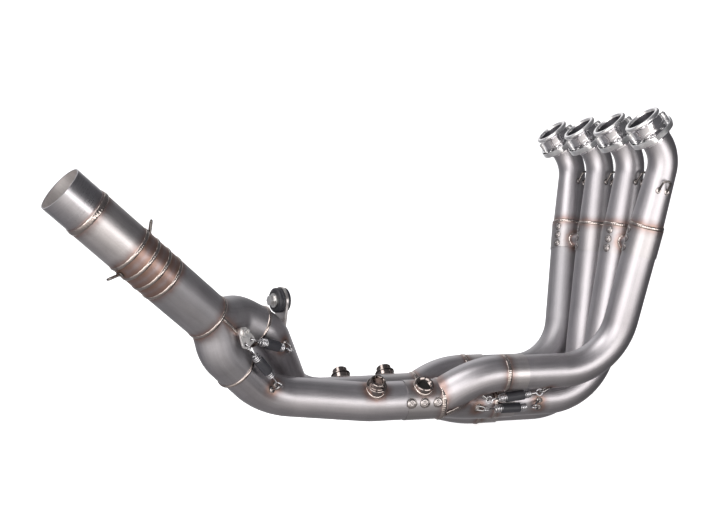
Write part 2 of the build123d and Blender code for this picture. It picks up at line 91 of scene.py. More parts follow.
# Collectors and mid pipes
socket_gap, socket_wall = 0.2, 1.1
branch_radius = lower_radius + socket_gap + socket_wall
branch_closing, branch_inset = 0.96, 0.8
socket_start, socket_end = -160.0, -131.0
merge_x, mid_y = -233.0, 44.0
merge_z = {"left": -352.0, "right": -348.5}
merge_collar_length = 51.0
mid_radius = 24.0
collar_radius = mid_radius + collar_thickness
rear_overlap = 20.0
rear_slip = {"left": (-468.5, -50.0, -252.0), "right": (-497.5, -66.0, -298.3)}
rear_corner = {"left": (-455.6, -46.0, -258.6), "right": (-458.5, -44.0, -334.0)}
first_corner_x = {"left": -400.0, "right": -328.0}
mid_bends = {"left": (60.0, 42.0), "right": (150.0, 82.0)}
bung_x = {"left": (-270.0, -331.0), "right": (-262.0, -324.0)}
bung_radius, bung_bore, bung_height, bung_lift = 12.0, 8.25, 5.0, math.radians(50.0)

# Rear collector, link pipe and outlet
rear_gap, rear_wall = 0.25, 1.2
rear_radius = mid_radius + rear_gap + rear_wall
meet = np.array((-537.0, -90.0, -234.4))
rear_lead, rear_tail = 33.0, 13.0
rear_bends = {"left": 33.0, "right": 42.0}
link_radius, stub_radius = 28.2, 27.5
link_lengths = (79.0, 17.0, 17.0, 17.0, 59.5)
stub_land, stub_length, stub_wall = 5.0, 40.0, 1.5

# Springs
wire_radius, spring_radius, spring_wire = 1.4, 5.2, 0.85
spring_reach, sleeve_radius = 30.5, 6.3
eye_radius, eye_inset, coil_pitch, lead_turns = 4.2, 1.9, 2.25, 0.8
front_half, front_sleeve, rear_half, rear_sleeve = 22.0, 12.5, 19.0, 10.5
front_hook_x = {"upper": (-178.0, -105.0), "lower": (-178.0, -108.0)}
front_tilt = {"upper": (-3.0, 4.0), "lower": (0.0, 0.0)}
yoke_stud, yoke_eye = np.array((-499.3, -98.0, -252.5)), np.array((-491.2, -98.0, -264.2))
yoke_hole_side, yoke_hook_gap = 5.2, 1.85
rear_bar = {"left": np.array((-432.1, -66.0, -278.7)), "right": np.array((-449.2, -80.0, -318.9))}
hanger_point = np.array((-436.4, -36.0, -221.6))

# Hooks: half the width of the arch and size of its weld puddles
tube_hook, slip_hook, collector_hook = (5.2, 3.7), (4.4, 3.9), (2.7, 5.0)
outlet_hook, rear_hook = (3.4, 3.0), (4.0, 3.6)
tube_hook_height, outlet_hook_height = 16.0, 14.5
hook_drop = (76.0, 76.0, 76.0, 87.0)
hook_seat_radius = 18.9
slip_hook_ahead, collector_hook_behind = 9.0, 8.0

# Weld beads: width, height and pitch of the scales
ring_bead, balance_bead, socket_bead = (4.4, 1.0, 2.3), (4.0, 1.1, 2.6), (5.6, 1.1, 2.6)
merge_bead, crotch_bead, bung_bead = (6.4, 1.8, 2.8), (8.0, 1.5, 2.8), (3.6, 1.0, 2.2)
first_link_bead, link_bead, stub_bead = (4.6, 1.0, 2.4), (4.4, 1.0, 2.4), (6.6, 0.9, 3.2)
rear_crotch_bead = (5.0, 1.4, 2.4)
merge_weld_behind, socket_weld_ahead, crotch_fill, bead_step = 4.6, 2.2, 2.2, 0.4

# Spot welds: places along a collar, and size
tube_spots, tube_spot_size = (8.4, 20.4, 32.2), 4.5
merge_spots, merge_spot_size = (13.0, 30.5, 47.5), 5.9

pairs = {"left": (0, 1), "right": (2, 3)}
sign = {"left": 1.0, "right": -1.0}


def unit(v):
    v = np.asarray(v, float)
    return v / np.linalg.norm(v)


def square(v, axis):
    """Part of v that is square to axis, as a unit vector."""
    return unit(np.asarray(v, float) - axis * np.dot(v, axis))


def full_turn(count):
    return np.linspace(0, 2 * math.pi, count, endpoint=False)


def fan(turn, a, b):
    """Ways at the angles of turn, from a towards b."""
    return np.cos(turn)[:, None] * a + np.sin(turn)[:, None] * b


hanger_axis = unit((-0.96, -0.27, 0.0))
link_way = unit((-0.708, -0.382, 0.595))
out_way = unit((-0.742, -0.191, 0.643))


# Materials


def lin(code):
    """sRGB hex colour as linear RGBA."""
    values = [int(code[k : k + 2], 16) / 255 for k in (1, 3, 5)]
    return tuple(v / 12.92 if v <= 0.04045 else ((v + 0.055) / 1.055) ** 2.4 for v in values) + (1.0,)


def add(tree, kind, inputs=None, stops=(), give=0, **settings):
    """Adds a node and gives an output: inputs are values or sockets to link, stops are a ramp's marks."""
    made = tree.nodes.new(kind)
    for key, value in settings.items():
        setattr(made, key, value)
    for key, value in (inputs or {}).items():
        if isinstance(value, bpy.types.NodeSocket):
            tree.links.new(value, made.inputs[key])
        else:
            made.inputs[key].default_value = value
    if stops:
        marks = made.color_ramp.elements
        while len(marks) < len(stops):
            marks.new(0.5)
        for mark, (place, colour) in zip(marks, stops):
            mark.position = place
            mark.color = colour
    return made.outputs[give]


# Nearly all of a noise lies in this span
noise_span = {"From Min": 0.3, "From Max": 0.7}


def material(name):
    made = bpy.data.materials.new(name)
    made.use_nodes = True
    tree = made.node_tree
    where = add(tree, "ShaderNodeTexCoord", give="Object")
    return made, tree, tree.nodes["Principled BSDF"], where


def shaded(code, factor):
    return tuple(min(1.0, c * factor) for c in lin(code)[:3]) + (1.0,)


def titanium(name, colour, rough, tint=1.0, brushed=False, reach=15.0):
    """Titanium sheet: cloudy grain, streaks along the tube or brushed around it, heat colour by welds."""
    made, tree, shader, where = material(name)
    # Streaks are 3 mm wide and 100 mm long, brush lines 0.8 mm wide: coarser than real ones, to show
    stretch = (0.03, 0.03, 1.3) if brushed else (0.35, 0.35, 0.01)
    skin_mm = add(tree, "ShaderNodeAttribute", give="Vector", attribute_name="skin_mm")
    drawn = add(tree, "ShaderNodeVectorMath", {0: skin_mm, 1: stretch}, operation="MULTIPLY")
    lines = add(tree, "ShaderNodeTexNoise", {"Vector": drawn, "Scale": 1.0, "Detail": 4.0, "Roughness": 0.65})
    # Clouds of 34 mm, heat edges that stray over 8 mm, and blasted grain drawn at 1.5 mm so that it shows
    noises = []
    for size, detail, harsh in ((34.0, 4.0, 0.55), (1.5, 3.0, 0.7), (8.0, 3.0, 0.55)):
        speckle = {"Vector": where, "Scale": 1 / (size * MM), "Detail": detail, "Roughness": harsh}
        noises.append(add(tree, "ShaderNodeTexNoise", speckle))
    cloud, grain, stray = noises
    bent = add(tree, "ShaderNodeAttribute", give="Fac", attribute_name="bent")
    mixed = 0.0
    for value, weight in ((cloud, 0.3), (grain, 0.3), (lines, 0.4), (bent, -0.05)):
        mixed = add(tree, "ShaderNodeMath", {0: value, 1: weight, 2: mixed}, operation="MULTIPLY_ADD")
    stops = [(0.36, shaded(colour, 0.84)), (0.64, shaded(colour, 1.1))]
    shade = add(tree, "ShaderNodeValToRGB", {"Fac": mixed}, stops)
    # Heat colour runs from brown at a weld through straw to grey
    far = add(tree, "ShaderNodeAttribute", give="Fac", attribute_name="weld_mm")
    stray = add(tree, "ShaderNodeMapRange", {"Value": stray, **noise_span, "To Min": -1.5, "To Max": 1.5})
    far = add(tree, "ShaderNodeMath", {0: far, 1: stray}, operation="ADD")
    share = add(tree, "ShaderNodeMapRange", {"Value": far, "From Min": 0.0, "From Max": reach})
    browns = ((0.0, "#5e4e46"), (0.1, "#9c7c6c"), (0.26, "#9a7b71"), (0.45, "#948280"), (0.8, "#a59f9e"))
    heat = add(tree, "ShaderNodeValToRGB", {"Fac": share}, [(place, lin(code)) for place, code in browns])
    stops = [(place, (value * tint,) * 3 + (1.0,)) for place, value in ((0.0, 0.85), (0.3, 0.66), (0.9, 0.0))]
    strength = add(tree, "ShaderNodeValToRGB", {"Fac": share}, stops)
    layers = {"Factor": strength, "A": shade, "B": heat}
    tinted = add(tree, "ShaderNodeMix", layers, give="Result", data_type="RGBA")
    tree.links.new(tinted, shader.inputs["Base Color"])
    shader.inputs["Metallic"].default_value = 1.0
    span = {**noise_span, "To Min": rough - 0.06, "To Max": rough + 0.06}
    tree.links.new(add(tree, "ShaderNodeMapRange", {"Value": mixed, **span}), shader.inputs["Roughness"])
    relief = {"Height": grain, "Strength": 0.16, "Distance": 0.06 * MM}
    if brushed:
        relief.update({"Height": lines, "Strength": 0.3})
    tree.links.new(add(tree, "ShaderNodeBump", relief), shader.inputs["Normal"])
    return made


def metal(name, colour, rough, grain, bump, edge=0.0, metallic=1.0):
    """Metal or rubber with a fine grain and uneven polish; edge is how far corners look eased, in mm."""
    made, tree, shader, where = material(name)
    # The polish varies over 12 mm, and the grain is drawn coarser than real grit so that it shows
    speckle = {"Vector": where, "Detail": 3.0, "Roughness": 0.55}
    cloud = add(tree, "ShaderNodeTexNoise", {**speckle, "Scale": 1 / (12.0 * MM)})
    fine = add(tree, "ShaderNodeTexNoise", {**speckle, "Scale": 1 / (grain * MM)})
    stops = [(0.3, shaded(colour, 0.84)), (0.7, shaded(colour, 1.04))]
    tree.links.new(add(tree, "ShaderNodeValToRGB", {"Fac": cloud}, stops), shader.inputs["Base Color"])
    shader.inputs["Metallic"].default_value = metallic
    span = {**noise_span, "To Min": rough * 0.8, "To Max": rough * 1.2}
    tree.links.new(add(tree, "ShaderNodeMapRange", {"Value": cloud, **span}), shader.inputs["Roughness"])
    relief = {"Height": fine, "Strength": bump, "Distance": 0.06 * MM}
    if edge:
        relief["Normal"] = add(tree, "ShaderNodeBevel", {"Radius": edge * MM}, samples=6)
    tree.links.new(add(tree, "ShaderNodeBump", relief), shader.inputs["Normal"])
    return made


# Bead-blasted titanium sheet of the tubes: a soft broad sheen with faint streaks along the tube
satin = titanium("satin titanium", "#bbb8bb", 0.44)
# The same sheet blasted coarser and drawn darker in colour as painted shade, on rear collector, link pipe and
# one lower primary: a duller, wider sheen
shaded_matt = titanium("matt titanium", "#b1afb2", 0.53)
# The same sheet heated through, on the lobster bands: straw and brown far from the welds
coloured = titanium("heat-coloured titanium", "#c8bfbd", 0.42, tint=1.2, reach=24.0)
# Sockets and upper link, pressed to size: paler, with a tighter sheen
sized = titanium("sized titanium", "#cac6c6", 0.4)
# Collars wiped after welding: a clean sheen with less heat colour
wiped = titanium("wiped titanium", "#b8b5b6", 0.42, tint=0.8)
# Turned stub: fine lines around it and narrow highlights
brushed = titanium("turned titanium", "#b9b7ba", 0.3, tint=0.5, brushed=True)
# Blasted bore of the stub: a paler colour than the outside, painted light inside the bore; even, without
# glints
lit_bore_skin = titanium("blasted titanium", "#dbd7d6", 0.6)
# Turned and polished spigot necks: a near mirror with light and dark bands
polished = metal("polished titanium", "#dddbdd", 0.11, 0.5, 0.03)
# Turned lips of the spigots: bright, with soft edges to the highlights
lip_metal = metal("turned lip", "#f8f7f7", 0.3, 0.5, 0.05)
# Blasted throats of the spigots: dull, in a dark grey that is painted shade inside the bore
shaded_throat = metal("blasted throat", "#75747a", 0.5, 0.5, 0.05)
# Turned bungs tinted by heat: a warm grey mirror
bung_metal = metal("heat-tinted titanium", "#948b87", 0.16, 0.5, 0.05)
# Weld metal: bright with a faint straw tint, so that each scale has its own glint
weld_metal = metal("titanium weld", "#b4aaa5", 0.19, 0.7, 0.15)
# Weld metal of the spot welds: duller, with broken glints on the ripples
spot_metal = metal("titanium spot weld", "#aaa4a2", 0.22, 0.8, 0.3)
# Oxide around a spot weld: a dark matt ring
oxide = metal("weld oxide", "#57504c", 0.5, 0.8, 0.2)
# Polished seat side of the aluminium flanges: a pale mirror
seat_metal = metal("polished aluminium", "#dcdcde", 0.14, 0.35, 0.05)
# Milled aluminium of the flanges: an even, nearly white grey
alloy = metal("milled aluminium", "#f6f6f6", 0.4, 0.35, 0.1)
# Folded titanium bracket: a pale sheen with eased edges
bracket = metal("folded titanium", "#dedad8", 0.4, 0.4, 0.1, edge=0.4)
# Stainless spring wire: bright, with small sharp glints
bright_wire = metal("stainless wire", "#cfcfd2", 0.2, 0.5, 0.03)
# Stainless hook wire, greyed by welding: the same glints on a darker grey
hook_wire = metal("stainless hook wire", "#a09e9e", 0.2, 0.5, 0.03)
# Hook wire drawn darker: brown grey with small glints
dark_wire = metal("dark hook wire", "#77726f", 0.22, 0.5, 0.05)
# Plated steel fasteners: pale, with a satin sheen and eased edges
plated = metal("plated steel", "#f4f3f1", 0.42, 0.4, 0.06, edge=0.5)
# Dark chromed plugs: a dark warm mirror
plug_coat = metal("dark chrome", "#8a817d", 0.17, 0.6, 0.03)
# Black rubber of spring sleeves and hanger bush: dark, with a soft grey sheen
rubber = metal("black rubber", "#2b2b30", 0.5, 0.5, 0.4, metallic=0.0)
# Painted shade in the bore behind the open bung: black without sheen
bore_shade = metal("bore_shade", "#1c1a19", 0.8, 1.0, 0.2, metallic=0.0)
heated = (satin, shaded_matt, coloured, sized, wiped, brushed, lit_bore_skin)


# Welds are listed first, because the tubes take heat colour from them

weld_spots = []
weld_jobs = []


def ring_line(centre, axis, radius):
    """Closed ring of points with outward normals."""
    axis = unit(axis)
    a = square(Z if abs(axis[2]) < 0.9 else X, axis)
    out = fan(full_turn(int(2 * math.pi * radius / bead_step)), a, np.cross(axis, a))
    return np.asarray(centre) + out * radius, out


def weld(name, line, out, closed, body, nodes, size):
    weld_spots.append(line[::3])
    weld_jobs.append((name, line, out, closed, body, nodes, *size))


def pierce(point, way, on_axis, axis, radius):
    """Where a straight line first meets a round bar."""
    p = point - on_axis
    p = p - axis * (p @ axis)
    w = way - axis * (way @ axis)
    a, b, c = w @ w, p @ w, p @ p - radius * radius
    root = max(0.0, b * b - a * c)
    return point + way * ((-b - math.sqrt(root)) / a)


def saddle(centre, way, radius, on_axis, axis, bar_radius):
    """Closed line where a round stem that points along way meets a round bar."""
    a = square(axis, way)
    line, out = [], []
    for side in fan(full_turn(int(2 * math.pi * radius / bead_step)), a, np.cross(way, a)):
        spot = pierce(centre + side * radius, way, on_axis, axis, bar_radius)
        line.append(spot)
        out.append(unit(square(spot - on_axis, axis) + side))
    return np.array(line), np.array(out)


# Centre lines


def route(points, bends, step=3.0):
    """Points along straight runs joined by round bends."""
    points = [np.array(p, float) for p in points]
    line = [points[0]]

    def run(goal):
        start = line[-1]
        count = max(1, int(np.linalg.norm(goal - start) / step))
        line.extend(start + (goal - start) * k / count for k in range(1, count + 1))

    for k, bend in enumerate(bends):
        into = unit(points[k + 1] - points[k])
        away = unit(points[k + 2] - points[k + 1])
        angle = math.acos(max(-1.0, min(1.0, into @ away)))
        run(points[k + 1] - into * bend * math.tan(angle / 2))
        inward = square(away, into)
        centre = line[-1] + inward * bend
        count = max(3, int(angle * bend / step) + 1)
        for j in range(1, count + 1):
            t = angle * j / count
            line.append(centre + bend * (into * math.sin(t) - inward * math.cos(t)))
    run(points[-1])
    keep = [0] + [k for k in range(1, len(line)) if np.linalg.norm(line[k] - line[k - 1]) > 1e-6]
    return np.array([line[k] for k in keep])


def carried(line, closed=False):
    """Directions along a line and two across it, carried without twist."""
    if closed:
        along = np.roll(line, -1, axis=0) - np.roll(line, 1, axis=0)
    else:
        along = np.gradient(line, axis=0)
    along = along / np.linalg.norm(along, axis=1)[:, None]
    side = square(Z if abs(along[0][2]) < 0.9 else X, along[0])
    first = []
    for way in along:
        side = square(side, way)
        first.append(side)
    first = np.array(first)
    return along, first, np.cross(along, first)


port_down = np.array((math.cos(port_tilt), 0.0, -math.sin(port_tilt)))
port = [np.array((0.0, y, 0.0)) for y in port_y]
bend_top = [p + port_down * upper_apex for p in port]
bend_low = [np.array((lower_apex_x[i], slip_y[i], slip_z[i])) for i in range(4)]
leg = [unit(bend_low[i] - bend_top[i]) for i in range(4)]


def on_leg(i, drop):
    """Point of a primary's straight run at a drop below the ports."""
    return bend_top[i] + leg[i] * ((-drop - bend_top[i][2]) / leg[i][2])


ring_point = [on_leg(i, ring_drop) for i in range(4)]
merge = {side: np.array((merge_x, sign[side] * mid_y, merge_z[side])) for side in pairs}
slip_point = {side: np.array(rear_slip[side]) for side in pairs}
slip_way = {side: unit(slip_point[side] - np.array(rear_corner[side])) for side in pairs}
mid_line = {}
for side in pairs:
    first = np.array((first_corner_x[side], merge[side][1], merge[side][2]))
    end = slip_point[side] + slip_way[side] * rear_overlap
    mid_line[side] = route([merge[side], first, rear_corner[side], end], mid_bends[side])


def branch_centre(i, side, x):
    """Centre and radius of a collector's branch, which closes in on the mid pipe."""
    t = (x - socket_start) / (merge_x - socket_start)
    share = 1 - branch_closing * max(t, 0.0) ** 2
    y = merge[side][1] + (slip_y[i] - merge[side][1]) * share
    z = merge[side][2] + (slip_z[i] - merge[side][2]) * share
    size = branch_radius + (mid_radius - branch_inset - branch_radius) * max(t, 0.0)
    return np.array((x, y, z)), size


rear_line = {}
for side in pairs:
    knee = slip_point[side] + slip_way[side] * rear_lead
    apart = square(knee - meet, link_way)
    goal = meet + apart * (link_radius - rear_radius)
    bend = rear_bends[side]
    rear_line[side] = route([slip_point[side], knee, goal - link_way * rear_tail, goal], (bend, bend), 2.0)

turn_axis = unit(np.cross(link_way, out_way))
turn_step = math.acos(link_way @ out_way) / 4


def turned(v, axis, angle):
    """v turned about axis."""
    upright = axis * (axis @ v)
    return upright + (v - upright) * math.cos(angle) + np.cross(axis, v) * math.sin(angle)


link_ways = [turned(link_way, turn_axis, turn_step * k) for k in range(5)]
link_nodes = [meet]
for way, length in zip(link_ways, link_lengths):
    link_nodes.append(link_nodes[-1] + way * length)
stub_base = link_nodes[-1]


def mitre(k):
    """Way square to the joint at the start of link piece k."""
    return link_way if k == 0 else unit(link_ways[k - 1] + link_ways[k])


bung_way = {side: np.array((0, sign[side] * math.cos(bung_lift), math.sin(bung_lift))) for side in pairs}
bung_base = (collar_radius, mid_radius)


def bung_foot(side, k):
    return np.array((bung_x[side][k], *merge[side][1:]))


# Weld list
seam_out = [np.array((-0.90, -0.42, 0)), np.array((-0.98, 0.15, 0))] * 2
well_outside = 60.0
nugget_jobs = []
for side, pair in pairs.items():
    body = f"{side}_header"
    nodes = (f"header_welds_{side}",)
    for i in pair:
        line, out = ring_line(ring_point[i], leg[i], lower_radius)
        weld(f"ring_weld_{i + 1}", line, out, True, body, nodes, ring_bead)
        out = square(seam_out[i], leg[i])
        for along in tube_spots:
            spot = ring_point[i] + leg[i] * along + out * tube_collar_radius
            nugget_jobs.append((spot, out, leg[i], tube_collar_radius, tube_spot_size, body, nodes))
    a, b = on_leg(pair[0], balance_drop), on_leg(pair[1], balance_drop)
    way = unit(b - a)
    for i, start, end, aim in ((pair[1], a, b, way), (pair[0], b, a, -way)):
        line, out = saddle(start, aim, balance_radius, end, leg[i], tube_collar_radius)
        weld(f"balance_weld_{i + 1}", line, out, True, body, (), balance_bead)
    body = f"{side}_mid"
    nodes = (f"collector_welds_{side}",)
    line, out = ring_line(merge[side] - X * merge_weld_behind, X, collar_radius)
    weld(f"merge_weld_{side}", line, out, True, body, nodes, merge_bead)
    for i in pair:
        line, out = ring_line((socket_start + socket_weld_ahead, slip_y[i], slip_z[i]), X, branch_radius)
        weld(f"socket_weld_{i + 1}", line, out, True, body, nodes, socket_bead)
    out = unit((0, sign[side] * 0.999, -0.03))
    for along in merge_spots:
        spot = merge[side] - X * along + out * collar_radius
        nugget_jobs.append((spot, out, X, collar_radius, merge_spot_size, body, nodes))
    # Crotch seams where the two branches run into each other
    seams = ([], [])
    probe = 0.5
    for x in np.arange(socket_start - 2, merge_x, -bead_step):
        (c0, r0), (c1, _) = branch_centre(pair[0], side, x), branch_centre(pair[1], side, x)
        apart = c1 - c0
        gap = np.linalg.norm(apart)
        ahead = branch_centre(pair[1], side, x - probe)[0] - branch_centre(pair[0], side, x - probe)[0]
        slope = (gap - np.linalg.norm(ahead)) / 2 / probe
        long = r0 * math.hypot(1.0, slope)
        if gap < 2 * long:
            across = unit(np.cross(X, apart))
            reach = r0 * math.sqrt(1 - (gap / 2 / long) ** 2)
            seams[0].append(((c0 + c1) / 2 + across * reach, across))
            seams[1].append(((c0 + c1) / 2 - across * reach, -across))
    for k, seam in enumerate(seams):
        line, out = (np.array(part) for part in zip(*seam))
        weld(f"crotch_weld_{side}_{k}", line + out * crotch_fill, out, False, body, (), crotch_bead)
    for k, base in enumerate(bung_base):
        foot = bung_foot(side, k)
        start = foot + bung_way[side] * well_outside
        line, out = saddle(start, -bung_way[side], bung_radius, foot, X, base)
        weld(f"bung_weld_{side}_{k}", line, out, True, body, (), bung_bead)

for k in range(5):
    line, out = ring_line(link_nodes[k], mitre(k), link_radius)
    weld(f"link_weld_{k}", line, out, True, "rear", ("rear_welds",), link_bead if k else first_link_bead)
line, out = ring_line(stub_base, out_way, link_radius)
weld("stub_weld", line, out, True, "rear", ("rear_welds",), stub_bead)

# Seam of the rear collector, on the plane between its two branches
middle = square(rear_line["left"][6] - rear_line["right"][6], link_way)
_, first, second = carried(rear_line["right"])
for k, flip in enumerate((1, -1)):
    seam = []
    for p, x, y in zip(rear_line["right"], first, second):
        c0, c1, c2 = rear_radius * (x @ middle), rear_radius * (y @ middle), (meet - p) @ middle
        size = math.hypot(c0, c1)
        if size > abs(c2):
            turn = math.atan2(c1, c0) + flip * math.acos(c2 / size)
            out = math.cos(turn) * x + math.sin(turn) * y
            seam.append((p + out * rear_radius, out))
    coarse = range(len(seam))
    fine = np.linspace(0, len(seam) - 1, len(seam) * 6)
    line, out = (np.array([np.interp(fine, coarse, c) for c in zip(*part)]).T for part in zip(*seam))
    out = out / np.linalg.norm(out, axis=1)[:, None]
    weld(f"rear_crotch_weld_{k}", line, out, False, "rear", (), rear_crotch_bead)


def arch_line(foot, rise, side, half, sunk=1.5):
    """Arch that stands on foot and reaches to the end of rise."""
    up, side = unit(rise), unit(side)
    post = rise - up * half
    line = [foot - side * half - up * sunk]
    line += [foot - side * half + post * t for t in (0.33, 0.66)]
    for t in np.linspace(0, math.pi, 21):
        line.append(foot + post + half * (up * math.sin(t) - side * math.cos(t)))
    line += [foot + side * half + post * t for t in (0.66, 0.33)]
    line.append(foot + side * half - up * sunk)
    return np.array(line)


def spring_side(i, side):
    """Way from a slip joint to its spring."""
    return np.array((0, 0, -1.0)) if abs(slip_y[i]) > mid_y else unit((0, sign[side] * 0.98, -0.2))


def spring_ends(i, side):
    place = "upper" if abs(slip_y[i]) > mid_y else "lower"
    line_at = np.array((0, slip_y[i], slip_z[i])) + spring_side(i, side) * spring_reach
    return [line_at + X * x + Z * z for x, z in zip(front_hook_x[place], front_tilt[place])]


hook_jobs = []
puddle_jobs = []


def hook(name, foot, up, rise, across, half, puddle, body, look, nodes, axis, radius, heat=True):
    """Wire arch on a tube with a weld puddle at each foot, or one puddle where the feet are close."""
    hook_jobs.append((name, arch_line(foot, rise, across, half), wire_radius, body, look, nodes))
    for k in (0,) if half < 3 else (-1, 1):
        spot = foot + across * k * half
        puddle_jobs.append((spot, up, axis, radius, puddle, body))
        if heat:
            weld_spots.append(ring_line(spot, up, puddle + 0.4)[0][::6])


# Hook list
for side, pair in pairs.items():
    body = f"{side}_header"
    nodes = (f"header_hooks_{side}",)
    for i in pair:
        n = i + 1
        aim = np.array((-0.11, -0.99, 0)) if i == 3 else np.array((0.32, -0.95, 0))
        up = square(aim, leg[i])
        rise = unit(up * 0.5 - leg[i] * 0.87) * tube_hook_height
        across = unit(np.cross(leg[i], up))
        foot = on_leg(i, hook_drop[i]) + up * hook_seat_radius
        hook(
            f"tube_hook_{n}", foot, up, rise, across, *tube_hook,
            body, dark_wire, nodes, leg[i], hook_seat_radius, heat=False,
        )
        away = spring_side(i, side)
        back, front = spring_ends(i, side)
        foot = np.array((front[0] + slip_hook_ahead, slip_y[i], slip_z[i])) + away * lower_radius
        hook(
            f"slip_hook_{n}", foot, away, front - foot, np.cross(away, X), *slip_hook,
            body, hook_wire, nodes, X, lower_radius,
        )
        root, size = branch_centre(i, side, back[0] - collector_hook_behind)
        up = square(back - root, X)
        foot = root + up * size
        hook(
            f"collector_hook_{n}", foot, up, back - foot, np.cross(up, X), *collector_hook,
            f"{side}_mid", hook_wire, (f"collector_hooks_{side}",), X, size,
        )

hook_way = link_ways[3]
hook_spot = (link_nodes[3] + link_nodes[4]) / 2
upward = square(Z, hook_way)
for k, out in enumerate((upward, -upward)):
    lean = unit(out * 0.85 + hook_way * 0.5)
    foot = hook_spot + out * link_radius
    hook(
        f"outlet_hook_{k}", foot, out, lean * outlet_hook_height, square(Y, lean), *outlet_hook,
        "rear", dark_wire, ("outlet_hooks",), hook_way, link_radius,
    )

pull = {side: unit(rear_bar[side] - yoke_eye) for side in pairs}
rear_across = {}
for side in pairs:
    line = mid_line[side]
    near = line[np.argmin(np.linalg.norm(line - rear_bar[side], axis=1))]
    up = unit(rear_bar[side] - near)
    across = rear_across[side] = unit(np.cross(up, pull[side]))
    foot = near + up * mid_radius
    hook(
        f"rear_hook_{side}", foot, up, rear_bar[side] - foot, across, *rear_hook,
        f"{side}_mid", hook_wire, (f"collector_hooks_{side}",), np.cross(up, across), mid_radius,
    )

spots = np.vstack(weld_spots)
tree_of_welds = KDTree(len(spots))
for k, spot in enumerate(spots):
    tree_of_welds.insert(Vector(spot), k)
tree_of_welds.balance()


# Mesh builders


def build(name, verts, faces, body, look, nodes=(), sharp=None, skin_mm=None, bent=None):
    data = bpy.data.meshes.new(name)
    data.from_pydata((np.asarray(verts) * MM).tolist(), [], faces)
    data.polygons.foreach_set("use_smooth", [True] * len(data.polygons))
    if sharp:
        data.set_sharp_from_angle(angle=math.radians(sharp))
    obj = bpy.data.objects.new(name, data)
    bpy.context.scene.collection.objects.link(obj)
    data.materials.append(look)
    if look in heated:
        near = [min(40.0, tree_of_welds.find(Vector(v))[2]) for v in verts]
        data.attributes.new("weld_mm", "FLOAT", "POINT").data.foreach_set("value", near)
    if skin_mm is not None:
        data.attributes.new("skin_mm", "FLOAT_VECTOR", "POINT").data.foreach_set("vector", np.ravel(skin_mm))
        data.attributes.new("bent", "FLOAT", "POINT").data.foreach_set("value", np.ravel(bent))
    if body:
        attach(obj, body)
    if nodes:
        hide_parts(*nodes)
    return obj


def grid_faces(rows, columns, closed_rows=False, closed_columns=True):
    faces = []
    for i in range(rows if closed_rows else rows - 1):
        n = (i + 1) % rows
        for j in range(columns if closed_columns else columns - 1):
            m = (j + 1) % columns
            faces.append((i * columns + j, i * columns + m, n * columns + m, n * columns + j))
    return faces


def skin(name, line, radius, body, look, nodes=(), around=80, rims=(0.0, 0.0), deep=(6.0, 6.0)):
    """Tube surface along a line, with rims of real wall turned in at its ends."""
    along, a, b = carried(line)
    radius = np.broadcast_to(np.asarray(radius, float), len(line))
    curved = np.linalg.norm(np.gradient(along, axis=0), axis=1) > 0.01
    rows = list(zip(line, a, b, radius, curved))
    if rims[0]:
        low = radius[0] - rims[0]
        rows = [(line[0] + along[0] * deep[0], a[0], b[0], low, 0), (line[0], a[0], b[0], low, 0)] + rows
    if rims[1]:
        low = radius[-1] - rims[1]
        rows += [(line[-1], a[-1], b[-1], low, 0), (line[-1] - along[-1] * deep[1], a[-1], b[-1], low, 0)]
    turn = full_turn(around)
    verts, skin_mm, bent = [], [], []
    travel = 0.0
    before = rows[0][0]
    for p, x, y, r, turned_row in rows:
        travel += np.linalg.norm(p - before)
        before = p
        verts.append(p + r * fan(turn, x, y))
        skin_mm.append(np.stack([r * np.cos(turn), r * np.sin(turn), np.full(around, travel)], 1))
        bent.append(np.full(around, float(turned_row)))
    faces = grid_faces(len(rows), around)
    return build(name, np.vstack(verts), faces, body, look, nodes, 40, np.vstack(skin_mm), bent)


def straight(p, q, step=3.0):
    return route([p, q], (), step)


def lathe(name, profile, origin, axis, body, look, nodes=(), around=72, sharp=38, closed=True):
    """Turned piece: profile lists radius and height along axis, with a count of flats where it has them."""
    axis = unit(axis)
    a = square(Y if abs(axis[1]) < 0.9 else X, axis)
    turn = full_turn(around)
    ways = fan(turn, a, np.cross(axis, a))
    rows = []
    for r, h, *flats in profile:
        if flats:
            wedge = 2 * math.pi / flats[0]
            r = (r / np.cos(turn % wedge - wedge / 2))[:, None]
        rows.append(np.asarray(origin) + axis * h + r * ways)
    faces = grid_faces(len(profile), around, closed)
    return build(name, np.vstack(rows), faces, body, look, nodes, sharp)


def rounded(profile, radius, steps=4, closed=True):
    """Profile with its corners rounded."""
    points = [np.array(p, float) for p in profile]
    made = []
    count = len(points)
    for k, p in enumerate(points):
        if not closed and k in (0, count - 1):
            made.append(p)
            continue
        before, after = points[k - 1], points[(k + 1) % count]
        cut = min(radius, 0.45 * np.linalg.norm(before - p), 0.45 * np.linalg.norm(after - p))
        start, end = p + unit(before - p) * cut, p + unit(after - p) * cut
        for t in np.linspace(0, 1, steps + 1):
            made.append(start * (1 - t) ** 2 + p * 2 * t * (1 - t) + end * t * t)
    return made


def wire(name, line, radius, body, look, nodes=(), around=10):
    """Round wire along a line with domed ends."""
    along, a, b = carried(np.asarray(line))
    dome, dome_radius = radius * 0.7, radius * 0.45
    rows = [(line[0] - along[0] * dome, a[0], b[0], dome_radius)]
    rows += [(p, x, y, radius) for p, x, y in zip(line, a, b)]
    rows.append((line[-1] + along[-1] * dome, a[-1], b[-1], dome_radius))
    verts = [p + r * fan(full_turn(around), x, y) for p, x, y, r in rows]
    faces = grid_faces(len(rows), around)
    last = (len(rows) - 1) * around
    faces += [tuple(range(around - 1, -1, -1)), tuple(range(last, last + around))]
    return build(name, np.vstack(verts), faces, body, look, nodes)


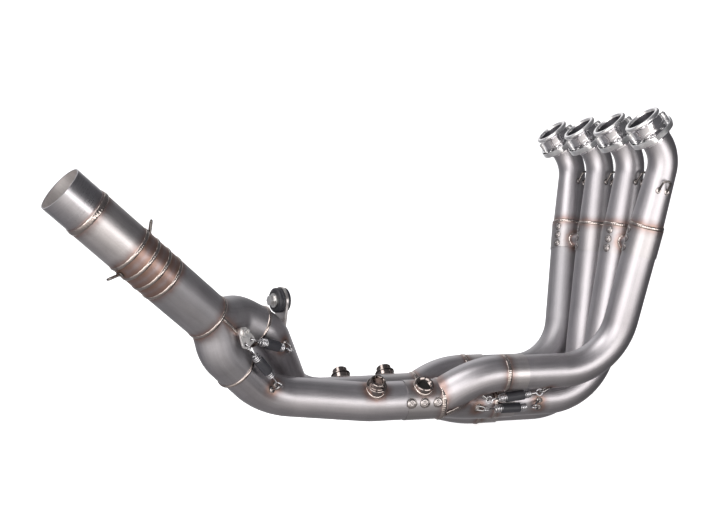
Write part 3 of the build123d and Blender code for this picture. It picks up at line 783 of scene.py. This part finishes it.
def bead(name, line, out, closed, body, nodes, width, height, pitch):
    """Fish-scale weld bead along a line on a surface."""
    along, _, _ = carried(line, closed)
    steps = np.linalg.norm(np.diff(line, axis=0, append=line[:1] if closed else line[-1:]), axis=1)
    travel = np.concatenate(([0], np.cumsum(steps)[:-1]))
    total = steps.sum()
    pitch = total / max(1, round(total / pitch))
    lean = np.linspace(0, math.pi, 11)
    across = np.cross(out, along)
    rows = []
    for p, o, c, s in zip(line, out, across, travel):
        sway = 1 + 0.05 * math.sin(s * 0.9) + 0.04 * math.sin(s * 0.37 + 1)
        row = []
        for angle in lean:
            side = -math.cos(angle)
            phase = (s / pitch - 0.42 * side * side) % 1.0
            scale = 0.66 + 0.34 * math.sqrt(1 - phase)
            row.append(p + c * side * width / 2 * sway + o * (height * math.sin(angle) * scale - 0.15))
        rows.append(row)
    faces = grid_faces(len(rows), len(lean), closed, False)
    return build(name, np.array(rows).reshape(-1, 3), faces, body, weld_metal, nodes)


def nugget(name, spot, out, axis, radius, size, body, nodes=(), height=1.1):
    """Flat rippled weld spot on a tube of the given axis and radius."""
    axis = square(axis, out)
    across = np.cross(out, axis)
    centre = spot - out * radius
    turn = full_turn(36)
    rows = []
    for rho in [1.14, 1.0] + list(np.linspace(0.99, 0.05, 14)):
        ripple = np.cos(rho * 5.6 * math.pi + 1.5 * np.cos(turn - spot[0]))
        lift = np.where(rho > 0.995, 0.07, height * (1 - rho**4) * (0.84 + 0.16 * ripple))[:, None]
        reach = size * rho * (1 + 0.025 * np.sin(3 * turn + spot[2]) + 0.02 * np.sin(7 * turn + spot[0]))
        swing = reach * np.sin(turn) / radius
        slide = (reach * np.cos(turn))[:, None] * axis
        rows.append(centre + (radius + lift) * fan(swing, out, across) + slide)
    last = (len(rows) - 1) * len(turn)
    faces = grid_faces(len(rows), len(turn)) + [tuple(range(last, last + len(turn)))]
    obj = build(name, np.vstack(rows), faces, body, spot_metal, nodes)
    obj.data.materials.append(oxide)
    obj.data.polygons.foreach_set("material_index", [int(k < len(turn)) for k in range(len(faces))])
    return obj


def plate(name, outline, holes, ease, thickness, origin, x, y, z, body, look, seat_look, nodes):
    """Flat plate with eased edges; outline and holes are closed 2D lines that run anticlockwise."""

    def grown(line, step):
        ahead = np.roll(line, -1, 0) - np.roll(line, 1, 0)
        normal = np.stack([ahead[:, 1], -ahead[:, 0]], 1)
        return line + normal / np.linalg.norm(normal, axis=1)[:, None] * step

    bow = np.linspace(0, math.pi / 2, 7)
    layers = [(ease * (1 - math.sin(t)), ease * (1 - math.cos(t))) for t in bow]
    layers += [(ease * (1 - math.cos(t)), thickness - ease * (1 - math.sin(t))) for t in bow]
    verts, faces = [], []
    caps = ([], [])
    count = 0
    for line, way in [(outline, -1.0)] + [(hole, 1.0) for hole in holes]:
        for inset, h in layers:
            flat = grown(line, way * inset)
            verts.append(origin + flat[:, :1] * x + flat[:, 1:] * y + h * z)
        size = len(line)
        faces += [tuple(count + k for k in face) for face in grid_faces(len(layers), size)]
        caps[0].append((grown(line, way * ease), count))
        caps[1].append((grown(line, way * ease), count + size * (len(layers) - 1)))
        count += size * len(layers)
    sides = len(faces)
    for cap in caps:
        index = [start + k for line, start in cap for k in range(len(line))]
        loops = [[Vector((u, v, 0.0)) for u, v in line] for line, start in cap]
        faces += [tuple(index[k] for k in face) for face in tessellate_polygon(loops)]
    under = sides + (len(faces) - sides) // 2
    obj = build(name, np.vstack(verts), faces, body, look, nodes)
    obj.data.polygons.foreach_set("use_smooth", [k < sides for k in range(len(faces))])
    obj.data.materials.append(seat_look)
    obj.data.polygons.foreach_set("material_index", [int(sides <= k < under) for k in range(len(faces))])
    return obj


def circle(x, y, radius, count=48):
    turn = full_turn(count)
    return np.stack([x + radius * np.cos(turn), y + radius * np.sin(turn)], 1)


def hull(points):
    """Line around a set of 2D points, anticlockwise."""
    points = sorted(map(tuple, points))
    halves = []
    for run in (points, points[::-1]):
        half = []
        for p in run:
            while len(half) > 1:
                before, ahead = np.subtract(half[-1], half[-2]), np.subtract(p, half[-1])
                if np.cross(before, ahead) > 1e-9:
                    break
                half.pop()
            half.append(p)
        halves += half[:-1]
    return np.array(halves)


# Tubes
for side, pair in pairs.items():
    body = f"{side}_header"
    for i in pair:
        n = i + 1
        start = port[i] + port_down * (spigot_length - tube_sunk)
        line = route([start, bend_top[i], ring_point[i]], (upper_bend,))
        travel = np.concatenate(([0], np.cumsum(np.linalg.norm(np.diff(line, axis=0), axis=1))))
        turn_end = len([p for p in line if np.linalg.norm(np.cross(p - ring_point[i], leg[i])) > 0.05])
        grow = np.clip((travel - travel[turn_end]) / (travel[-1] - travel[turn_end]), 0, 1)
        size = upper_radius + (cone_radius - upper_radius) * grow
        skin(f"upper_tube_{n}", line, size, body, satin, (f"upper_primary_{n}",))
        end = np.array((tube_end, slip_y[i], slip_z[i]))
        line = route([ring_point[i], bend_low[i], end], (lower_bend,))
        # The first lower primary is drawn in the darker titanium, whose colour is painted shade
        skin(f"lower_tube_{n}", line, lower_radius, body, shaded_matt if n == 1 else satin, (f"lower_primary_{n}",))
        line = straight(ring_point[i] + leg[i] * collar_start, ring_point[i] + leg[i] * collar_length, 2.0)
        skin(
            f"tube_collar_{n}", line, tube_collar_radius, body, wiped, (f"primary_collars_{side}",),
            rims=(0.7, 0.7), deep=(1.0, 1.0),
        )
    line = straight(on_leg(pair[0], balance_drop), on_leg(pair[1], balance_drop))
    skin(f"balance_pipe_{side}", line, balance_radius, body, satin, (f"balance_tube_{side}",), 48)

    body = f"{side}_mid"
    for i in pair:
        xs = [socket_start] + list(np.arange(socket_start - 2, merge_x, -2.0)) + [merge_x]
        line = np.array([branch_centre(i, side, x)[0] for x in xs])
        size = np.array([branch_centre(i, side, x)[1] for x in xs])
        skin(f"branch_{i + 1}", line, size, body, satin, (f"collector_{side}",))
        line = np.array([branch_centre(i, side, x)[0] for x in np.linspace(socket_end, socket_start, 16)])
        skin(f"socket_{i + 1}", line, branch_radius, body, sized, (f"collector_{side}",), rims=(0.95, 0.0))
    skin(f"mid_tube_{side}", mid_line[side], mid_radius, body, satin, (f"mid_pipe_{side}",))
    line = straight(merge[side] - X * 0.2, merge[side] - X * merge_collar_length, 2.0)
    nodes = (f"collector_collar_{side}",)
    skin(f"merge_collar_{side}", line, collar_radius, body, wiped, nodes, rims=(0.0, 0.7), deep=(1.0, 1.0))

    nodes = (f"rear_collector_{side}",)
    # The rear collector is drawn in the darker titanium, whose colour is painted shade
    skin(f"rear_branch_{side}", rear_line[side], rear_radius, "rear", shaded_matt, nodes, rims=(1.1, 0.0))

# The link pipe is drawn in the darker titanium, whose colour is painted shade
link_looks = (shaded_matt, coloured, coloured, coloured, sized)
for k, (p, q) in enumerate(zip(link_nodes, link_nodes[1:])):
    node = "link_pipe" if k == 0 else "upper_link" if k == 4 else "lobster_back"
    first = mitre(k)
    last = link_ways[k] if k == 4 else mitre(k + 1)
    obj = skin(f"link_tube_{k}", straight(p, q, 2.0), link_radius, "rear", link_looks[k], (node,))
    # Ends are sheared onto the mitre planes
    co = np.array([v.co for v in obj.data.vertices]) / MM
    way, long = link_ways[k], np.linalg.norm(q - p)
    t = np.clip(((co - p) @ way) / long, 0, 1)
    radial = co - p - np.outer((co - p) @ way, way)
    shift = -(radial @ first) / (way @ first) * (1 - t) - (radial @ last) / (way @ last) * t
    co = co + shift[:, None] * way
    obj.data.vertices.foreach_set("co", (co * MM).ravel())
step = stub_base + out_way * stub_land
line = straight(stub_base, step, 1.0)
skin("outlet_land", line, link_radius, "rear", wiped, ("outlet_stub",), 96, rims=(0.0, 0.9), deep=(0.0, 0.5))
line = straight(step - out_way * 0.4, stub_base + out_way * stub_length, 2.0)
skin(
    "outlet_tube", line, stub_radius, "rear", brushed, ("outlet_stub",), 120,
    rims=(0.0, stub_wall), deep=(0.0, 0.6),
)
# The bore of the stub is drawn in the paler titanium, whose colour is painted light
skin("outlet_bore", line, stub_radius - stub_wall, "rear", lit_bore_skin, ("outlet_stub",), 120)

# Rolled rims of the rear sleeves, as steps out from the sleeve and heights
rim = [(-0.6, -0.2), (1.0, -0.2), (1.6, 0.8), (1.6, 2.2), (1.0, 3.4), (-0.1, 3.8)]
for side in pairs:
    profile = rounded([(rear_radius + out, h) for out, h in rim], 0.7, 4, False)
    lathe(
        f"sleeve_rim_{side}", profile, slip_point[side], slip_way[side], "rear", weld_metal, ("rear_welds",),
        around=120, sharp=None, closed=False,
    )

for job in weld_jobs:
    bead(*job)
for k, job in enumerate(nugget_jobs):
    nugget(f"rosette_{k}", *job)
for k, job in enumerate(puddle_jobs):
    nugget(f"hook_puddle_{k}", *job)
for job in hook_jobs:
    wire(*job)

# Port spigots, as radius and height below the port face
lip = [(18.4, 3.4), (18.5, 1.6), (19.4, 0.4), (20.9, 0.0), (22.4, 0.4), (23.4, 1.5), (23.7, 2.8)]
lip += [(23.3, 4.2), (22.3, 5.2)]
neck = [(22.4, 5.1), (20.6, 7.0), (20.6, 15.5), (21.3, 15.5), (21.3, 21.0), (20.0, 21.0), (20.0, 33.0)]
bore = [(18.5, 3.2), (18.1, 8.0), (17.9, 21.0), (17.4, 33.0)]
spigot = (
    ("lip", lip, lip_metal, None),
    ("neck", rounded(neck, 0.7, 4, False), polished, 30),
    # The bore of each spigot is drawn in dark grey as painted shade
    ("bore", bore, shaded_throat, None),
)
for i in range(4):
    body = "left_header" if i < 2 else "right_header"
    for name, profile, look, sharp in spigot:
        lathe(
            f"spigot_{name}_{i + 1}", profile, port[i], port_down, body, look, (f"port_spigot_{i + 1}",),
            around=96, sharp=sharp, closed=False,
        )

# Sensor bungs with threaded bores
thread_pitch, crest, root = 1.5, bung_bore - 0.6, bung_bore + 0.2
for side in pairs:
    for k, base in enumerate(bung_base):
        top = base + bung_height
        profile = [(bung_radius, base - 4.0), (bung_radius, top - 0.8), (bung_radius - 0.8, top)]
        profile += [(bung_bore + 1.0, top), (root, top - 0.8)]
        for turn in range(6):
            h = top - 1.2 - turn * thread_pitch
            profile += [(crest, h - 0.35), (crest, h - 0.55), (root, h - 1.0), (root, h - 1.3)]
        lathe(
            f"bung_{side}_{k}", profile, bung_foot(side, k), bung_way[side], f"{side}_mid", bung_metal,
            (f"sensor_bungs_{side}",), around=64, sharp=30, closed=False,
        )

# Plugs with a hexagon socket in all bungs but one
plug = [(12.8, 0.05), (12.8, 1.6), (12.2, 2.2), (10.2, 2.3), (9.7, 2.8), (9.7, 8.6), (9.0, 9.5)]
plug += [(8.2, 9.7), (7.6, 9.5), (6.6, 8.6, 6), (6.6, 3.0, 6), (0.3, 2.6)]
for side, k in (("left", 0), ("left", 1), ("right", 1)):
    face = bung_foot(side, k) + bung_way[side] * (bung_base[k] + bung_height)
    lathe(
        f"plug_{side}_{k}", plug, face, bung_way[side], f"{side}_mid", plug_coat,
        (f"sensor_plugs_{side}",), sharp=30, closed=False,
    )

# Painted shade inside the open bung: a black disc that stands for the dark pipe bore seen through it
profile = [(bung_bore + 0.1, collar_radius + 0.4), (0.2, collar_radius + 0.2)]
lathe(
    "bung_depth", profile, bung_foot("right", 0), bung_way["right"], "right_mid", bore_shade,
    around=48, sharp=None, closed=False,
)

# Springs


def spring_line(p, q, side_p, side_q, half):
    """One wire: eye, lead, close-wound coil, lead, eye."""
    axis = unit(q - p)
    middle = (p + q) / 2
    line = []
    eye = p + axis * eye_inset
    a = unit(np.cross(side_p, axis))
    for t in np.linspace(0.5, 2 * math.pi, 26):
        line.append(eye + eye_radius * (axis * math.cos(t) + a * math.sin(t)))
    b = np.cross(axis, a)
    turns = int(2 * half / coil_pitch)
    count = turns * 22
    for k in range(count + 1):
        share = k / count
        t = 2 * math.pi * turns * share
        grow = min(1.0, share * turns / lead_turns, (1 - share) * turns / lead_turns)
        r = (spring_radius - spring_wire) * (1 - (1 - grow) ** 2)
        line.append(middle + axis * (2 * share - 1) * half + r * (math.cos(t) * a + math.sin(t) * b))
    eye = q - axis * eye_inset
    a = unit(np.cross(side_q, axis))
    for t in np.linspace(2 * math.pi, 0.5, 26):
        line.append(eye + eye_radius * (-axis * math.cos(t) + a * math.sin(t)))
    return np.array(line)


def make_spring(name, p, q, side_p, side_q, half, sleeve_half, home, node, sleeve_node):
    """Spring from p on body home to q, with a rubber sleeve in its middle that goes on body home."""
    obj = wire(name, spring_line(p, q, side_p, side_q, half), spring_wire, None, bright_wire, (node,), 8)
    axis = unit(q - p)
    middle = (p + q) / 2
    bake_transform(obj)
    r, h = sleeve_radius, sleeve_half
    profile = [(r - 0.95, -h), (r - 0.1, -h), (r, -h * 0.6), (r, 0), (r, h * 0.6)]
    profile += [(r - 0.1, h), (r - 0.95, h)]
    lathe(f"{name}_sleeve", rounded(profile, 0.6, 3), middle, axis, home, rubber, (sleeve_node,), 40, None)


for side, pair in pairs.items():
    for i in pair:
        across = np.cross(spring_side(i, side), X)
        back, front = spring_ends(i, side)
        make_spring(
            f"front_spring_{i + 1}", back, front, across, across, front_half, front_sleeve,
            f"{side}_mid", f"front_springs_{side}", f"front_spring_sleeves_{side}",
        )

face_out = unit(np.cross(pull["left"], pull["right"]))
if face_out[1] > 0:
    face_out = -face_out
along = square(yoke_eye - yoke_stud, face_out)
sideways = np.cross(face_out, along)
flip = 1.0 if (pull["left"] - pull["right"]) @ sideways > 0 else -1.0
for side in pairs:
    hole = yoke_eye + sideways * yoke_hole_side * flip * sign[side]
    way = unit(rear_bar[side] - hole)
    make_spring(
        f"rear_spring_wire_{side}", hole + way * yoke_hook_gap, rear_bar[side],
        np.cross(way, face_out), rear_across[side], rear_half, rear_sleeve,
        "rear", f"rear_spring_{side}", "rear_spring_sleeves",
    )

# Hanger bush
profile = [(6.1, -6.0), (14.0, -6.0), (15.0, -5.0), (15.0, -1.52), (11.0, -1.52), (11.0, 1.52), (15.0, 1.52)]
profile += [(15.0, 4.2), (14.2, 4.7), (15.0, 5.2), (15.0, 8.0), (13.5, 9.5), (6.1, 9.5)]
lathe(
    "hanger_bush_rubber", rounded(profile, 0.6, 3), hanger_point, hanger_axis, "left_mid", rubber,
    ("hanger_grommet",), sharp=45,
)


# Flange plates


def at_turn(radius, degrees):
    """2D point on a circle."""
    return radius * math.cos(math.radians(degrees)), radius * math.sin(math.radians(degrees))


points = [circle(0, 0, flange_body, 96)]
holes = [circle(0, 0, flange_bore, 96)]
for turn in lobe_turns:
    points.append(circle(*at_turn(stud_circle, turn), flange_tip, 72))
    holes.append(circle(*at_turn(stud_circle, turn), stud_radius, 36))
    for step in (-vent_step, vent_step):
        holes.append(circle(*at_turn(vent_circle, turn + step), vent_radius, 24))
outline = hull(np.vstack(points))
gaps = np.linalg.norm(np.roll(outline, -1, 0) - outline, axis=1)
travel = np.concatenate(([0], np.cumsum(gaps)))
even = np.linspace(0, travel[-1], 240, endpoint=False)
ring = np.vstack([outline, outline[:1]])
outline = np.stack([np.interp(even, travel, ring[:, 0]), np.interp(even, travel, ring[:, 1])], 1)
port_across = np.cross(port_down, Y)
post = [(stud_radius, -post_height), (post_radius, -post_height), (post_radius, 0.2), (stud_radius, 0.2)]
for i in range(4):
    n = i + 1
    body, nodes = f"flange_{n}", (f"port_flange_{n}",)
    seat = port[i] + port_down * flange_start
    plate(
        f"flange_plate_{n}", outline, holes, flange_ease, flange_thickness, seat, Y, port_across, port_down,
        body, alloy, seat_metal, nodes,
    )
    for k, turn in enumerate(lobe_turns[:2]):
        u, v = at_turn(stud_circle, turn)
        spot = seat + u * Y + v * port_across
        lathe(f"flange_post_{n}_{k}", rounded(post, 0.5), spot, port_down, body, alloy, nodes, 48)

# CAD nodes that stay get a real finish
finishes = {
    "spring_yoke": plated,
    "yoke_boss": bracket,
    "yoke_bolt": plated,
    "hanger_bracket": bracket,
    "hanger_fasteners": plated,
}
for node, look in finishes.items():
    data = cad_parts[node].data
    data.materials.clear()
    data.materials.append(look)

# Floor and backdrop: one sheet that bends up behind the part
camera_at = np.array((-809.0, -1490.0, -116.0))
camera_way = unit((0.3087, 0.9502, -0.0419))
view_way = square(camera_way, Z)
right_way = np.cross(view_way, Z)
sheet_middle = np.array((-340.0, -20.0, 0.0))
floor_front, floor_back, floor_bend, wall_height, half_width = -3000.0, 2600.0, 1400.0, 6000.0, 9000.0
low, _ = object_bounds()
floor_z = low.z / MM - 1.0
line = [(floor_front, floor_z), (floor_back, floor_z)]
for t in np.linspace(0.05, math.pi / 2, 24):
    line.append((floor_back + floor_bend * math.sin(t), floor_z + floor_bend * (1 - math.cos(t))))
line.append((floor_back + floor_bend, floor_z + wall_height))
sides = (-right_way * half_width, right_way * half_width)
verts = [sheet_middle + view_way * d + side + Z * h for d, h in line for side in sides]
# White paper, lit from behind: flat white without sheen, with clouds of 900 mm that hardly show
paper, tree, shader, where = material("paper_backdrop")
speckle = {"Vector": where, "Scale": 1 / (900.0 * MM), "Detail": 3.0, "Roughness": 0.55}
cloud = add(tree, "ShaderNodeTexNoise", speckle)
shade = add(tree, "ShaderNodeValToRGB", {"Fac": cloud}, [(0.3, lin("#f7f7f7")), (0.7, lin("#fbfbfb"))])
tree.links.new(shade, shader.inputs["Base Color"])
shader.inputs["Roughness"].default_value = 0.9
shader.inputs["Emission Color"].default_value = (1.0, 1.0, 1.0, 1.0)
shader.inputs["Emission Strength"].default_value = 0.8
data = bpy.data.meshes.new("backdrop")
data.from_pydata((np.array(verts) * MM).tolist(), [], grid_faces(len(line), 2, False, False))
data.polygons.foreach_set("use_smooth", [True] * len(data.polygons))
data.materials.append(paper)
backdrop = bpy.data.objects.new("backdrop", data)
backdrop.visible_glossy = False
bpy.context.scene.collection.objects.link(backdrop)

# The room that the metal mirrors: grey, darker to the right, with pale panels where zones overlap
world = bpy.data.worlds.new("studio")
bpy.context.scene.world = world
world.use_nodes = True
tree = world.node_tree
where = add(tree, "ShaderNodeTexCoord", give="Generated")
ways = {0: where, 1: tuple(view_way)}
behind = add(tree, "ShaderNodeVectorMath", ways, give="Value", operation="DOT_PRODUCT")
wide = add(tree, "ShaderNodeSeparateXYZ", {"Vector": where}, give="X")
height = wide.node.outputs["Z"]
edges = {
    "back": (behind, 0.7, 0.96),
    "rear": (behind, 0.3, 0.65),
    "front": (behind, 0.0, -0.5),
    "narrow": (wide, 0.5, 0.3),
    "over": (height, 0.2, 0.5),
    "low": (height, 0.5, 0.1),
    "sunk": (height, 0.05, -0.2),
    "raised": (height, -0.95, -0.5),
    "under": (height, -0.5, -0.9),
}
zones = {}
for name, (value, start, full) in edges.items():
    zones[name] = add(tree, "ShaderNodeMapRange", {"Value": value, "From Min": start, "From Max": full})
panels = (
    ((0.11, 0.099, 0.088), ("under",)),
    ((0.65, 0.65, 0.65), ("back", "low")),
    ((0.95, 0.95, 0.95), ("over", "rear", "narrow")),
    ((1.0, 0.945, 0.89), ("raised", "sunk", "front", "narrow")),
)
span = {"From Min": -1.0, "From Max": 1.0, "To Min": 0.31, "To Max": 0.105}
base = add(tree, "ShaderNodeMapRange", {"Value": wide, **span})
tone = add(tree, "ShaderNodeVectorMath", {0: (1.0, 0.99, 1.05), 1: base}, operation="MULTIPLY")
for colour, names in panels:
    share = zones[names[0]]
    for name in names[1:]:
        share = add(tree, "ShaderNodeMath", {0: share, 1: zones[name]}, operation="MULTIPLY")
    tone = add(tree, "ShaderNodeVectorMath", {0: colour, 1: share, 2: tone}, operation="MULTIPLY_ADD")
# The camera itself sees plain white
seen = add(tree, "ShaderNodeLightPath", give="Is Camera Ray")
layers = {"Factor": seen, "A": tone, "B": (1.0, 1.0, 1.0, 1.0)}
tone = add(tree, "ShaderNodeMix", layers, give="Result", data_type="RGBA")
tree.links.new(tone, tree.nodes["Background"].inputs["Color"])
tree.nodes["Background"].inputs["Strength"].default_value = 1.0


def light(name, spot, aim, width, height, power):
    """Softbox with a faintly warm white."""
    data = bpy.data.lights.new(name, "AREA")
    data.shape = "RECTANGLE"
    data.size, data.size_y = width * MM, height * MM
    data.energy = power
    data.color = (1.0, 0.975, 0.96)
    obj = bpy.data.objects.new(name, data)
    bpy.context.scene.collection.objects.link(obj)
    obj.location = Vector(spot) * MM
    obj.rotation_mode = "QUATERNION"
    obj.rotation_quaternion = (Vector(aim) - Vector(spot)).to_track_quat("-Z", "Y")


aim = np.array((-340.0, -40.0, -220.0))
light("left_softbox", (-1310, -1330, -150), aim, 1450, 1300, 17.6)
light("right_softbox", (225, -1165, -370), aim, 1200, 400, 5.8)
light("high_softbox", aim + np.array((-1054, -425, 1258)), aim, 1200, 900, 15)

data = bpy.data.cameras.new("camera")
data.sensor_width = 36.0
data.lens = 62.5
data.clip_end = 100.0
camera = bpy.data.objects.new("camera", data)
bpy.context.scene.collection.objects.link(camera)
camera.location = Vector(camera_at) * MM
camera.rotation_mode = "QUATERNION"
camera.rotation_quaternion = Vector(camera_way).to_track_quat("-Z", "Y")
bpy.context.scene.camera = camera
bpy.context.scene.view_settings.view_transform = "Standard"
bpy.context.scene.view_settings.look = "None"
